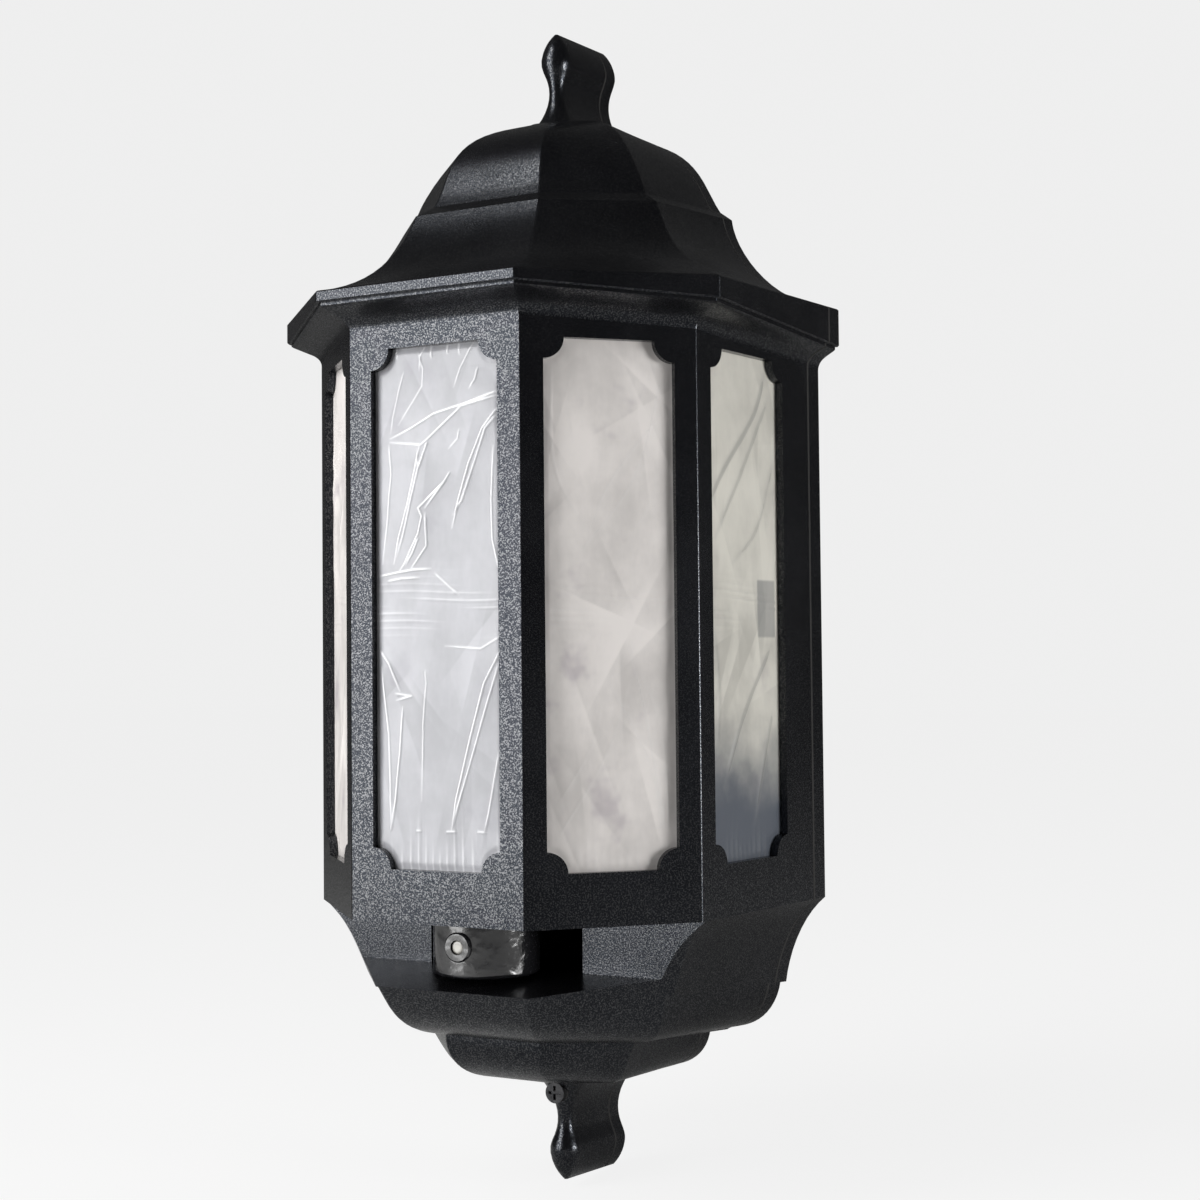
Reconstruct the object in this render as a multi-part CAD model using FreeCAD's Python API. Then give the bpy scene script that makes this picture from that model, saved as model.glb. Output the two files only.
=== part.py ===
"""Half lantern wall light: a moulded front cover on a wall plate, with lamp and dusk sensor.

Millimetres.  The wall is the plane y = 0, the light stands out towards -Y and +Z is up.
The origin is on the wall, midway between the two wall fixing holes.
"""
import FreeCAD, Part
import os
from math import atan2, cos, degrees, pi, radians, sin, tan
from FreeCAD import Placement, Rotation, Vector

# Plan of the glazed storey
front_width = 57.0
front_depth = 104.5
diagonal_run = 36.5
wall_width = 150.5
corner_round = 1.0

# Heights of the storeys, measured at the front face
storey_bottom = -89.0
storey_height = 171.4
neck_height = 19.3
bowl_height = 16.4
foot_height = 14.2
flare_height = 24.7
shoulder_height = 3.0
dome_height = 28.9

# Profiles: share of the storey's height, then the inset at the front, the knee and the wall,
# and how far the front and the knees step back towards the wall
flare_profile = [
    (0.2, 2.4, 0.4, 10.6, 2.4),
    (0.4, 8.7, 9.0, 18.4, 3.6),
    (0.67, 13.9, 16.1, 24.9, 5.0),
    (1.0, 17.9, 21.5, 28.7, 6.2),
]
dome_profile = [
    (0.0, 24.9, 25.6, 32.7, 4.6),
    (0.3, 29.1, 29.6, 37.4, 4.4),
    (0.6, 33.7, 35.5, 43.5, 4.9),
    (0.85, 44.9, 43.8, 55.0, 5.3),
    (1.0, 59.8, 59.7, 70.0, 5.1),
]
neck_profile = [
    (0.0, 0.0, 0.0, 0.0, 0.0),
    (0.19, 3.4, 4.2, 4.8, 0.0),
    (0.52, 5.6, 8.6, 9.8, 0.0),
    (1.0, 7.4, 13.1, 13.3, 0.0),
]
bowl_profile = [
    (0.0, 8.0, 16.4, 15.2, 0.0),
    (0.4, 12.0, 18.0, 17.4, 0.0),
    (0.66, 16.2, 19.9, 20.7, 0.0),
    (0.85, 23.0, 23.8, 25.7, 0.0),
    (1.0, 36.4, 34.4, 33.4, 0.0),
]
foot_profile = [
    (-0.25, 30.2, 29.6, 39.4, 0.0),
    (0.3, 31.2, 34.2, 40.8, 0.0),
    (0.62, 35.2, 37.2, 44.6, 0.0),
    (0.85, 45.0, 42.0, 53.3, 0.0),
    (1.0, 58.8, 61.2, 67.2, 0.0),
]

# Eave
eave_overhang = 10.3
eave_wall_overhang = 7.0
roof_ledge = 1.0
soffit_rise = 3.6
lip_height = 0.75
lip_inset = 1.3
band_height = 4.2
edge_break = 0.45

# Cove under the eave: share of the overhang, then the share of the soffit's rise
cove_profile = [
    (0.0, -0.7),
    (0.05, -0.27),
    (0.2, 0.12),
    (1.0, 1.0),
]

# Mould draft: how far level lines climb for each millimetre towards the wall
soffit_tilt = -0.053
eave_tilt = 0.02
roof_tilt = 0.09
bowl_tilt = -0.073
foot_tilt = -0.08
ledge_tilt = 0.083

# Moulded walls
wall = 2.4
floor_thickness = 2.4
attic_relief = 0.6

# Windows with scalloped corners
window_sill = 15.0
window_height = 148.0
front_window = 42.0
diagonal_window = 38.4
side_window = 39.6
side_window_start = 7.2
scallop = 6.0

# Half finials, rounded in front and run back to the wall
finial_nose = 30.8
finial_length = 33.0
finial_draft = 2.6
top_finial_sink = 3.5
foot_finial_sink = 1.2

# Flank of a half finial: share of its length, then half its thickness
finial_profile = [
    (0.0, 9.4),
    (0.157, 5.25),
    (0.392, 2.5),
    (0.55, 3.1),
    (0.71, 4.9),
    (0.79, 4.6),
    (0.88, 3.5),
    (0.96, 1.8),
    (1.0, 0.6),
]

# Sensor recess in the front of the neck
recess_depth = 66.8
recess_opening = 52.0
ledge_drop = 17.1

# Wall plate and its seal
plate_depth = 6.0
plate_floor = 2.5
seal_thickness = 1.0
seal_gap = 0.1
rib_reach = 5.0
rib_thickness = 2.0
rib_length = 120.0
rib_clearance = 0.5

# Diffuser and its lugs
diffuser_thickness = 1.6
diffuser_gap = 0.35
diffuser_back_gap = 1.0
diffuser_top_gap = 3.0
lug_height = 18.0
lug_width = 7.0
lug_thickness = 2.5
lug_setback = 3.0

# Wall fixing and cable entry
fixing_spacing = 90.0
fixing_hole = 5.2
fixing_pad = 13.0
fixing_pad_height = 1.2
cable_hole = 15.0
cable_bore = 7.0
grommet_flange = 21.0
grommet_lip = 1.5
grommet_nipple = 11.0
grommet_reach = 3.0

# Cover screw below and locating peg above
screw_rise = -1.5
screw_diameter = 4.0
screw_clearance = 0.25
screw_head = 6.4
screw_head_height = 2.4
screw_seat = 34.6
screw_tip = 1.8
washer_thickness = 0.8
peg_drop = 2.7
peg_diameter = 6.0
peg_length = 11.0
peg_clearance = 0.3

# Lamp and its holder
lamp_axis = 47.0
lamp_diameter = 60.0
lamp_length = 104.0
lamp_neck = 26.0
cap_diameter = 22.0
cap_length = 20.0
holder_shelf = 13.0
holder_diameter = 34.0
holder_height = 40.0
holder_socket = 24.0
ring_diameter = 40.0
ring_height = 11.0
ring_gap = 0.2
bracket_thickness = 1.5
bracket_width = 34.0
leg_gap = 5.0
bracket_fixing_spacing = 23.0
bracket_overhang = 18.0
stem_diameter = 10.0
nut_size = 17.0
nut_height = 4.0
stem_proud = 2.0
stem_bore = 6.0
socket_depth = 24.0
ring_lip = 2.0
ring_mouth_gap = 1.0
pin_diameter = 4.0
pin_spacing = 11.0
pin_seat = 8.0
lamp_sink = 21.0
neck_straight = 4.0
globe_slope = 30.0
waist_share = 0.38

# Dusk sensor
sensor_axis = 77.4
sensor_diameter = 31.0
sensor_clearance = 0.4
sensor_round = 1.2
bezel_drop = 7.6
bezel_diameter = 8.6
bezel_proud = 0.9
bezel_length = 4.0
lens_round = 0.8
lens_diameter = 4.2
arm_width = 18.0
arm_height = 9.0
arm_flange = 36.0
arm_drop = 9.5
arm_fixing_spacing = 27.0

# Small screws and the terminal block
small_screw = 3.0
small_head = 5.6
small_head_height = 1.8
terminal_pitch = 9.0
terminal_ways = 3
terminal_groove = 1.8
terminal_depth = 14.0
terminal_height = 17.0
terminal_gap = 4.0
terminal_bore = 3.4
terminal_screw = 3.6
terminal_screw_spacing = 9.0
screw_sink = 1.0
screw_blind = 0.7
slot_width = 0.9
slot_share = 0.67
slot_depth = 0.9

BISECT = tan(radians(22.5))
DIAGONAL_NORMAL = Vector(-cos(pi / 4), cos(pi / 4), 0)
FAR = 300.0
TOUCH = 0.01
UP = Vector(0, 0, 1)
BACK = Vector(0, 1, 0)
FORWARD = Vector(0, -1, 0)

half_front = front_width / 2
plan_knee = Vector(half_front + diagonal_run, diagonal_run - front_depth, 0)
plan_rear = Vector(wall_width / 2, 0, 0)
side_run = (plan_rear - plan_knee).normalize()
side_normal = Vector(-side_run.y, side_run.x, 0)
knee_shift = (DIAGONAL_NORMAL + side_normal) / (1 + DIAGONAL_NORMAL.dot(side_normal))
recess_y = -recess_depth
seat_y = -plate_depth - seal_thickness
cover_y = seat_y - seal_gap
floor_y = -plate_floor
storey_top = storey_bottom + storey_height
band_bottom = storey_top + soffit_rise + lip_height
roof_bottom = band_bottom + band_height
shoulder_bottom = roof_bottom + flare_height
dome_bottom = shoulder_bottom + shoulder_height
dome_top = dome_bottom + dome_height
bowl_top = storey_bottom - neck_height
bowl_bottom = bowl_top - bowl_height
foot_bottom = bowl_bottom - foot_height
room_floor = storey_bottom + floor_thickness
screw_level = foot_bottom + foot_tilt * front_depth + screw_rise
peg_level = dome_top + roof_tilt * front_depth - peg_drop
diffuser_back = plate_depth + rib_reach + diffuser_back_gap
shelf = storey_bottom + holder_shelf
leg_top = -fixing_spacing / 2 - fixing_pad / 2 - leg_gap
holder_top = shelf + holder_height
lamp_bottom = holder_top - lamp_sink
pin_places = (-pin_spacing / 2, pin_spacing / 2)
bracket_row = (shelf + leg_top) / 2
bracket_fixings = [(-bracket_fixing_spacing / 2, bracket_row), (bracket_fixing_spacing / 2, bracket_row)]
arm_level = storey_bottom - arm_drop
arm_fixings = [(-arm_fixing_spacing / 2, arm_level), (arm_fixing_spacing / 2, arm_level)]
bezel_back = bezel_length - bezel_proud - sensor_axis - sensor_diameter / 2
terminal_level = (fixing_spacing + fixing_pad + terminal_height) / 2 + terminal_gap
screw_levels = (terminal_level - terminal_screw_spacing / 2, terminal_level + terminal_screw_spacing / 2)


def block(x0, x1, y0, y1, z0, z1):
    """Return the block between two corners."""
    return Part.makeBox(x1 - x0, y1 - y0, z1 - z0, Vector(x0, y0, z0))


def rod(diameter, length, base, direction):
    """Return a round bar from a base point along a direction."""
    return Part.makeCylinder(diameter / 2, length, base, direction)


def slab(y0, y1):
    """Return everything between two planes parallel to the wall."""
    return block(-FAR, FAR, y0, y1, -FAR, FAR)


def fuse(shapes):
    """Join shapes into one and drop the seams between them."""
    return shapes[0].multiFuse(shapes[1:]).removeSplitter()


def both_sides(shape):
    """Return a right-hand shape and its mirror image."""
    return [shape, shape.mirror(Vector(), Vector(1, 0, 0))]


def save(name, shape):
    """Write one node."""
    shape.exportStep(os.path.join("parts", name + ".step"))


def right_corners(front, side, rear, back):
    """Return the plan corners on the right, given three insets and the step back of the first two."""
    return [
        Vector(half_front - BISECT * front, front + back - front_depth, 0),
        plan_knee + knee_shift * side + BACK * back,
        plan_rear - Vector(rear, 0, 0),
    ]


def outline(front, side, rear, back, z, tilt, rounding):
    """Return the closed plan outline on a plane that tilts towards the wall, with rounded corners."""
    right = right_corners(front, side, rear, back)
    points = [Vector(-p.x, p.y, 0) for p in reversed(right)] + right
    for p in points:
        p.z = z + tilt * (p.y + front_depth)
    if rounding == 0:
        return Part.makePolygon(points + points[:1])
    edges = []
    start = points[0]
    for before, corner, after in zip(points, points[1:], points[2:]):
        into = (before - corner).normalize()
        away = (after - corner).normalize()
        opening = into.getAngle(away) / 2
        reach = rounding / tan(opening)
        middle = corner + (into + away).normalize() * (rounding / sin(opening) - rounding)
        edges.append(Part.makeLine(start, corner + into * reach))
        edges.append(Part.Arc(corner + into * reach, middle, corner + away * reach).toShape())
        start = corner + away * reach
    edges.append(Part.makeLine(start, points[-1]))
    edges.append(Part.makeLine(points[-1], points[0]))
    return Part.Wire(edges)


def loft(sections, ruled=False, rounding=0):
    """Loft a storey through sections of three insets, a step back, a height and a tilt."""
    return Part.makeLoft([outline(*section, rounding) for section in sections], True, ruled)


def thinned(sections, thickness, sink):
    """Return the sections of the hollow inside a storey."""
    return [(f + thickness, s + thickness, r + thickness, b, z - sink, t) for f, s, r, b, z, t in sections]


def rows(profile, base, height, first_tilt, last_tilt):
    """Turn a profile's rows into sections."""
    return [
        (front, side, rear, back, base + share * height, first_tilt + share * (last_tilt - first_tilt))
        for share, front, side, rear, back in profile
    ]


lip = eave_overhang - lip_inset
rear_lip = eave_wall_overhang - lip_inset
soffit_sections = [
    (-share * lip, -share * lip, -share * rear_lip, 0, storey_top + rise * soffit_rise, soffit_tilt)
    for share, rise in cove_profile
]
storey_sections = [(0, 0, 0, 0, storey_bottom, 0), soffit_sections[0]]
lip_sections = [soffit_sections[-1], (-lip, -lip, -rear_lip, 0, band_bottom, soffit_tilt)]
band = eave_overhang - edge_break
rear_band = eave_wall_overhang - edge_break
band_sections = [
    (-band, -band, -rear_band, 0, band_bottom, soffit_tilt),
    (-eave_overhang, -eave_overhang, -eave_wall_overhang, 0, band_bottom + edge_break, soffit_tilt),
    (-eave_overhang, -eave_overhang, -eave_wall_overhang, 0, roof_bottom - edge_break, eave_tilt),
    (-band, -band, -rear_band, 0, roof_bottom, eave_tilt),
]
roof_edge = eave_overhang - roof_ledge
flare_foot = [(0.0, -roof_edge, -roof_edge, roof_ledge - eave_wall_overhang, 0.0)]
flare_sections = rows(flare_foot + flare_profile, roof_bottom, flare_height, eave_tilt, roof_tilt)
dome_sections = rows(dome_profile, dome_bottom, dome_height, roof_tilt, roof_tilt)
shoulder_sections = [flare_sections[-1], dome_sections[0]]
neck_sections = rows(neck_profile, storey_bottom, -neck_height, 0, bowl_tilt)
bowl_sections = rows(bowl_profile, bowl_top, -bowl_height, bowl_tilt, bowl_tilt)
foot_sections = rows(foot_profile, bowl_bottom, -foot_height, foot_tilt, foot_tilt)


def finial(root, sense):
    """Return a half finial that grows up or down from its root."""
    def at(half, reach):
        return Vector(half, -finial_nose, root + sense * reach)

    points = [at(half, share * finial_length) for share, half in finial_profile]
    flank = Part.BSplineCurve()
    flank.interpolate(points)
    ends = [points[-1], at(0, finial_length), at(0, 0), points[0]]
    closing = [Part.makeLine(start, end) for start, end in zip(ends, ends[1:])]
    half_face = Part.Face(Part.Wire([flank.toShape()] + closing))
    nose = half_face.revolve(at(0, 0), UP, -180)
    run = Vector(0, finial_nose, sense * finial_draft)
    return fuse([nose] + both_sides(half_face.extrude(run)))


def scalloped(width, height, depth):
    """Return a window cutter whose corners are scooped inwards, centred on a facet's face."""
    r = scallop
    s = r * cos(pi / 4)
    half = width / 2

    def at(x, z):
        return Vector(x, -depth, z)

    edges = [
        Part.makeLine(at(r - half, 0), at(half - r, 0)),
        Part.Arc(at(half - r, 0), at(half - s, s), at(half, r)).toShape(),
        Part.makeLine(at(half, r), at(half, height - r)),
        Part.Arc(at(half, height - r), at(half - s, height - s), at(half - r, height)).toShape(),
        Part.makeLine(at(half - r, height), at(r - half, height)),
        Part.Arc(at(r - half, height), at(s - half, height - s), at(-half, height - r)).toShape(),
        Part.makeLine(at(-half, height - r), at(-half, r)),
        Part.Arc(at(-half, r), at(s - half, s), at(r - half, 0)).toShape(),
    ]
    return Part.Face(Part.Wire(edges)).extrude(Vector(0, 2 * depth, 0))


def on_facet(shape, start, end, along, z):
    """Stand a shape on a facet, a distance along it from its start corner."""
    run = end - start
    place = start + run.normalize() * along + UP * z
    moved = shape.copy()
    moved.Placement = Placement(place, Rotation(UP, degrees(atan2(end.y - start.y, end.x - start.x))))
    return moved


def window_cutters():
    """Return the five window openings."""
    front, knee, rear = right_corners(0, 0, 0, 0)
    sill = storey_bottom + window_sill
    depth = 2 * wall
    left_front = Vector(-front.x, front.y, 0)
    cutters = [on_facet(scalloped(front_window, window_height, depth), left_front, front, half_front, sill)]
    diagonal = scalloped(diagonal_window, window_height, depth)
    cutters += both_sides(on_facet(diagonal, front, knee, (knee - front).Length / 2, sill))
    side = scalloped(side_window, window_height, depth)
    cutters += both_sides(on_facet(side, knee, rear, side_window_start + side_window / 2, sill))
    return cutters


def lantern_form():
    """Return the whole outer form as one solid, from the lower finial to the upper one."""
    ruled = [storey_sections, lip_sections, band_sections, shoulder_sections]
    smooth = [soffit_sections, flare_sections, dome_sections, neck_sections, bowl_sections, foot_sections]
    body = fuse([loft(s, True, corner_round) for s in ruled] + [loft(s, False, corner_round) for s in smooth])
    crest = finial(dome_top + roof_tilt * (front_depth - finial_nose) - top_finial_sink, 1)
    drop = finial(foot_bottom + foot_tilt * (front_depth - finial_nose) + foot_finial_sink, -1)
    return fuse([body, crest, drop])


def lantern_hollow():
    """Return the space inside the moulding, open at the wall."""
    room_top = roof_bottom - wall
    room = [(wall, wall, wall, 0, room_floor, 0), (wall, wall, wall, 0, room_top, 0)]
    attic = [room[1]]
    attic += thinned(flare_sections[2:], wall + attic_relief, wall / 2)
    attic += thinned(dome_sections[:4], wall + attic_relief, wall)
    bowl_start = tuple(inset + wall for inset in bowl_sections[1][:3])
    bowl_ceiling = bowl_start + (0, bowl_top - 2 * wall, bowl_tilt)
    neck_end = bowl_start + (0, bowl_top + wall, bowl_tilt)
    neck_rows = thinned(neck_sections[1:-1], wall, -wall)
    shaft = [room[0]] + [section for section in neck_rows if section[4] > neck_end[4] + wall]
    shaft += [neck_end, bowl_ceiling]
    behind_band = slab(recess_y + wall, FAR)
    bowl_rows = thinned(bowl_sections[1:4], wall, -wall)
    bowl = [bowl_ceiling] + [section for section in bowl_rows if section[4] < bowl_ceiling[4] - wall]
    foot = thinned(foot_sections[:3], wall, -wall)
    foot[0] = foot[0][:4] + (bowl[-1][4] + wall, bowl_tilt)
    spaces = [loft(room, True), loft(attic, True), loft(bowl, True), loft(foot, True)]
    return fuse(spaces + [loft(shaft, True).common(behind_band)])


def sensor_recess():
    """Return the space cut from the front of the neck, above a ledge that sheds water."""
    ledge = storey_bottom - ledge_drop
    front_y = -2 * front_depth
    points = [
        Vector(-FAR, recess_y, ledge),
        Vector(-FAR, front_y, ledge + ledge_tilt * (front_y - recess_y)),
        Vector(-FAR, front_y, storey_bottom),
        Vector(-FAR, recess_y, storey_bottom),
    ]
    space = Part.Face(Part.makePolygon(points + points[:1])).extrude(Vector(2 * FAR, 0, 0))
    half = recess_opening / 2
    opening = block(-half, half, recess_y - wall, recess_y + 2 * wall, ledge, storey_bottom)
    return [space, opening]


def cover_screw_bore(diameter, y0, y1):
    """Return a bore on the cover screw's line."""
    return rod(diameter, y1 - y0, Vector(0, y0, screw_level), BACK)


def peg_bore(diameter, y0, y1):
    """Return a bore on the locating peg's line."""
    return rod(diameter, y1 - y0, Vector(0, y0, peg_level), BACK)


def lantern_cover(shell):
    """Return the one-piece front moulding."""
    cover = shell.cut(slab(cover_y, FAR))
    peg_hole = peg_bore(peg_diameter + 2 * peg_clearance, -plate_depth - peg_length - peg_clearance, 0)
    screw_hole = cover_screw_bore(screw_diameter + 2 * screw_clearance, -FAR, 0)
    counterbore = cover_screw_bore(screw_head + 2 * screw_clearance, -FAR, -screw_seat)
    for cutter in [peg_hole, screw_hole, counterbore] + window_cutters() + sensor_recess():
        cover = cover.cut(cutter)
    return cover


def rim_seal(shell):
    """Return the flat seal between the cover and the wall plate."""
    seal = shell.common(slab(seat_y, -plate_depth))
    seal = seal.cut(peg_bore(peg_diameter, -FAR, 0))
    return seal.cut(cover_screw_bore(screw_diameter + 2 * screw_clearance, -FAR, 0))


def inner_wall_x(y):
    """Return how far the inner face of the side wall stands from the middle."""
    knee, rear = right_corners(wall, wall, wall, 0)[1:]
    return rear.x + (knee.x - rear.x) * (y - rear.y) / (knee.y - rear.y)


def wall_plate(form, hollow):
    """Return the shallow tray that is screwed to the wall."""
    tray = form.common(slab(-plate_depth, 0)).cut(hollow.common(slab(-FAR, floor_y)))
    pads = []
    holes = [rod(cable_hole, FAR, Vector(0, -FAR / 2, 0), BACK)]
    for z in (-fixing_spacing / 2, fixing_spacing / 2):
        pads.append(rod(fixing_pad, fixing_pad_height, Vector(0, floor_y, z), FORWARD))
        holes.append(rod(fixing_hole, FAR, Vector(0, -FAR / 2, z), BACK))
    tip_y = -plate_depth - rib_reach
    rib_x = inner_wall_x(tip_y) - rib_clearance
    rib = block(rib_x - rib_thickness, rib_x, tip_y, floor_y, -rib_length / 2, rib_length / 2)
    peg = peg_bore(peg_diameter, -plate_depth - peg_length, -plate_depth)
    plate = fuse([tray, peg] + pads + both_sides(rib))
    holes.append(cover_screw_bore(screw_diameter + 2 * screw_clearance, -FAR, -screw_tip / 2))
    blind = FAR - screw_blind
    holes += [rod(small_screw, blind, Vector(x, -FAR, z), BACK) for x, z in bracket_fixings + arm_fixings]
    return plate.cut(holes)


def cable_grommet():
    """Return the rubber grommet of the cable entry."""
    plug = rod(cable_hole, plate_floor, Vector(0, floor_y, 0), BACK)
    flange = rod(grommet_flange, grommet_lip, Vector(0, floor_y, 0), FORWARD)
    nipple = rod(grommet_nipple, grommet_lip + grommet_reach, Vector(0, floor_y, 0), FORWARD)
    return fuse([plug, flange, nipple]).cut(rod(cable_bore, FAR, Vector(0, -FAR / 2, 0), BACK))


def diffuser():
    """Return the folded translucent liner with its two moulded lugs."""
    outer = wall + diffuser_gap
    inner = outer + diffuser_thickness
    bottom = room_floor + diffuser_gap
    top = roof_bottom - wall - diffuser_top_gap
    sheet = loft([(outer, outer, outer, 0, bottom, 0), (outer, outer, outer, 0, top, 0)], True)
    sheet = sheet.cut(loft([(inner, inner, inner, 0, bottom, 0), (inner, inner, inner, 0, top, 0)], True))
    knee, rear = right_corners(inner, inner, inner, 0)[1:]
    lug = block(-lug_width, 0, 0, lug_thickness, -lug_height / 2, lug_height / 2)
    along = (rear - knee).Length - diffuser_back - lug_setback
    lugs = both_sides(on_facet(lug, knee, rear, along, 0))
    return fuse([sheet.cut(slab(-diffuser_back, FAR))] + lugs)


def pan_screw(base, direction, length, shank, head, head_height):
    """Return a cross-recessed screw whose head stands on a base point."""
    body = rod(shank, length, base, direction)
    cap = rod(head, head_height, base, direction * -1)
    half = slot_share * head / 2
    slot = block(-half, half, -slot_width / 2, slot_width / 2, 0, slot_depth)
    cross = slot.fuse(slot.rotated(Vector(), UP, 90))
    cross.Placement = Placement(base - direction * head_height, Rotation(UP, direction))
    return fuse([body, cap]).cut(cross)


def cover_screw():
    """Return the screw that holds the cover to the wall plate."""
    base = Vector(0, -screw_seat - washer_thickness, screw_level)
    length = screw_seat + washer_thickness - screw_tip
    return pan_screw(base, BACK, length, screw_diameter, screw_head, screw_head_height)


def screw_washer():
    """Return the soft washer under the cover screw's head."""
    ring = cover_screw_bore(screw_head, -screw_seat - washer_thickness, -screw_seat)
    return ring.cut(cover_screw_bore(screw_diameter, -FAR, 0))


def plate_screws(fixings, thickness):
    """Return the small screws that hold a bracket to the floor of the wall plate."""
    length = thickness + plate_floor - screw_blind
    return Part.makeCompound([
        pan_screw(Vector(x, floor_y - thickness, z), BACK, length, small_screw, small_head, small_head_height)
        for x, z in fixings
    ])


def lamp_bracket():
    """Return the folded bracket that carries the lampholder."""
    half = bracket_width / 2
    under = shelf - bracket_thickness
    tread = block(-half, half, -lamp_axis - bracket_overhang, floor_y, under, shelf)
    leg = block(-half, half, floor_y - bracket_thickness, floor_y, under, leg_top)
    holes = [rod(stem_diameter, FAR, Vector(0, -lamp_axis, -FAR), UP)]
    holes += [rod(small_screw, FAR, Vector(x, -FAR / 2, z), BACK) for x, z in bracket_fixings]
    return fuse([tread, leg]).cut(holes)


def on_lamp_axis(z):
    """Return a point on the lamp's centre line."""
    return Vector(0, -lamp_axis, z)


def lampholder_body():
    """Return the lampholder with its hollow stem."""
    stem_length = bracket_thickness + nut_height + stem_proud
    barrel = rod(holder_diameter, holder_height, on_lamp_axis(shelf), UP)
    stem = rod(stem_diameter, stem_length, on_lamp_axis(shelf - stem_length), UP)
    socket = rod(holder_socket, socket_depth, on_lamp_axis(holder_top - socket_depth), UP)
    wire_way = rod(stem_bore, FAR, on_lamp_axis(shelf - FAR / 2), UP)
    pins = [rod(pin_diameter, holder_height, Vector(x, -lamp_axis, shelf + pin_seat), UP) for x in pin_places]
    return fuse([barrel, stem]).cut([socket, wire_way] + pins)


def lampholder_ring():
    """Return the shade ring that screws down over the lampholder."""
    bottom = holder_top - ring_height
    ring = rod(ring_diameter, ring_height + ring_lip, on_lamp_axis(bottom), UP)
    bore = rod(holder_diameter + 2 * ring_gap, ring_height, on_lamp_axis(bottom), UP)
    mouth = rod(lamp_neck + 2 * ring_mouth_gap, FAR, on_lamp_axis(bottom), UP)
    return ring.cut([bore, mouth])


def lampholder_nut():
    """Return the hexagon nut under the bracket."""
    z = shelf - bracket_thickness - nut_height
    angles = [pi / 3 * i for i in range(7)]
    radius = nut_size / 2 / cos(pi / 6)
    points = [on_lamp_axis(z) + Vector(radius * cos(a), radius * sin(a), 0) for a in angles]
    nut = Part.Face(Part.makePolygon(points)).extrude(UP * nut_height)
    return nut.cut(rod(stem_diameter, FAR, on_lamp_axis(-FAR / 2 + z), UP))


def contact_pins():
    """Return the two spring contacts under the lamp cap."""
    length = lamp_bottom - shelf - pin_seat
    return Part.makeCompound([
        rod(pin_diameter, length, Vector(x, -lamp_axis, shelf + pin_seat), UP) for x in pin_places
    ])


def lamp():
    """Return the sealed lamp: cap, neck and globe in one solid."""
    cap = cap_diameter / 2
    neck = lamp_neck / 2
    globe = lamp_diameter / 2
    cap_top = lamp_bottom + cap_length
    centre = lamp_bottom + lamp_length - globe

    def at(radius, z):
        return Vector(radius, -lamp_axis, z)

    slope = radians(globe_slope)
    tangent = at(globe * cos(slope), centre - globe * sin(slope))
    crown = at(globe * cos(slope), centre + globe * sin(slope))
    collar = cap_top + neck - cap
    throat = collar + neck_straight
    waist = at(neck + waist_share * (tangent.x - neck), (throat + tangent.z) / 2)
    edges = [
        Part.makeLine(at(0, lamp_bottom), at(cap, lamp_bottom)),
        Part.makeLine(at(cap, lamp_bottom), at(cap, cap_top)),
        Part.makeLine(at(cap, cap_top), at(neck, collar)),
        Part.makeLine(at(neck, collar), at(neck, throat)),
        Part.Arc(at(neck, throat), waist, tangent).toShape(),
        Part.Arc(tangent, at(globe, centre), crown).toShape(),
        Part.Arc(crown, at(globe * sin(slope), centre + globe * cos(slope)), at(0, centre + globe)).toShape(),
        Part.makeLine(at(0, centre + globe), at(0, lamp_bottom)),
    ]
    return Part.Face(Part.Wire(edges)).revolve(on_lamp_axis(0), UP, 360)


def sensor_barrel():
    """Return the sealed sensor housing that shows in the recess."""
    top = storey_bottom - sensor_clearance
    bottom = storey_bottom - ledge_drop + sensor_clearance
    barrel = rod(sensor_diameter, top - bottom, Vector(0, -sensor_axis, bottom), UP)
    rims = [e for e in barrel.Edges if len(e.Vertexes) == 1]
    return barrel.makeFillet(sensor_round, rims).cut(bezel_plug())


def bezel_plug():
    """Return the space that the photocell bezel takes up in the barrel."""
    return rod(bezel_diameter, bezel_length, Vector(0, bezel_back, storey_bottom - bezel_drop), FORWARD)


def photocell_bezel():
    """Return the collar round the photocell."""
    collar = bezel_plug()
    face = [e for e in collar.Edges if abs(e.BoundBox.YMin - collar.BoundBox.YMin) < TOUCH and e.Closed]
    collar = collar.makeChamfer(bezel_proud / 2, face[:1])
    base = Vector(0, bezel_back, storey_bottom - bezel_drop)
    return collar.cut(rod(lens_diameter, bezel_length, base, FORWARD))


def photocell_lens():
    """Return the clear window of the photocell, slightly domed."""
    base = Vector(0, bezel_back, storey_bottom - bezel_drop)
    lens = rod(lens_diameter, bezel_length - bezel_proud / 2, base, FORWARD)
    face = [e for e in lens.Edges if abs(e.BoundBox.YMin - lens.BoundBox.YMin) < TOUCH and e.Closed]
    return lens.makeFillet(lens_round, face[:1])


def sensor_arm():
    """Return the arm that carries the sensor from the wall plate."""
    half = arm_width / 2
    flange_half = arm_flange / 2
    low = arm_level - arm_height / 2
    high = arm_level + arm_height / 2
    arm = block(-half, half, -sensor_axis, floor_y, low, high)
    flange = block(-flange_half, flange_half, floor_y - bracket_thickness, floor_y, low, high)
    barrel = rod(sensor_diameter, FAR, Vector(0, -sensor_axis, -FAR), UP)
    holes = [rod(small_screw, FAR, Vector(x, -FAR / 2, z), BACK) for x, z in arm_fixings]
    return fuse([arm, flange]).cut([barrel] + holes)


def terminal_places():
    """Return the middle of each way of the terminal block."""
    return [(way - (terminal_ways - 1) / 2) * terminal_pitch for way in range(terminal_ways)]


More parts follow.
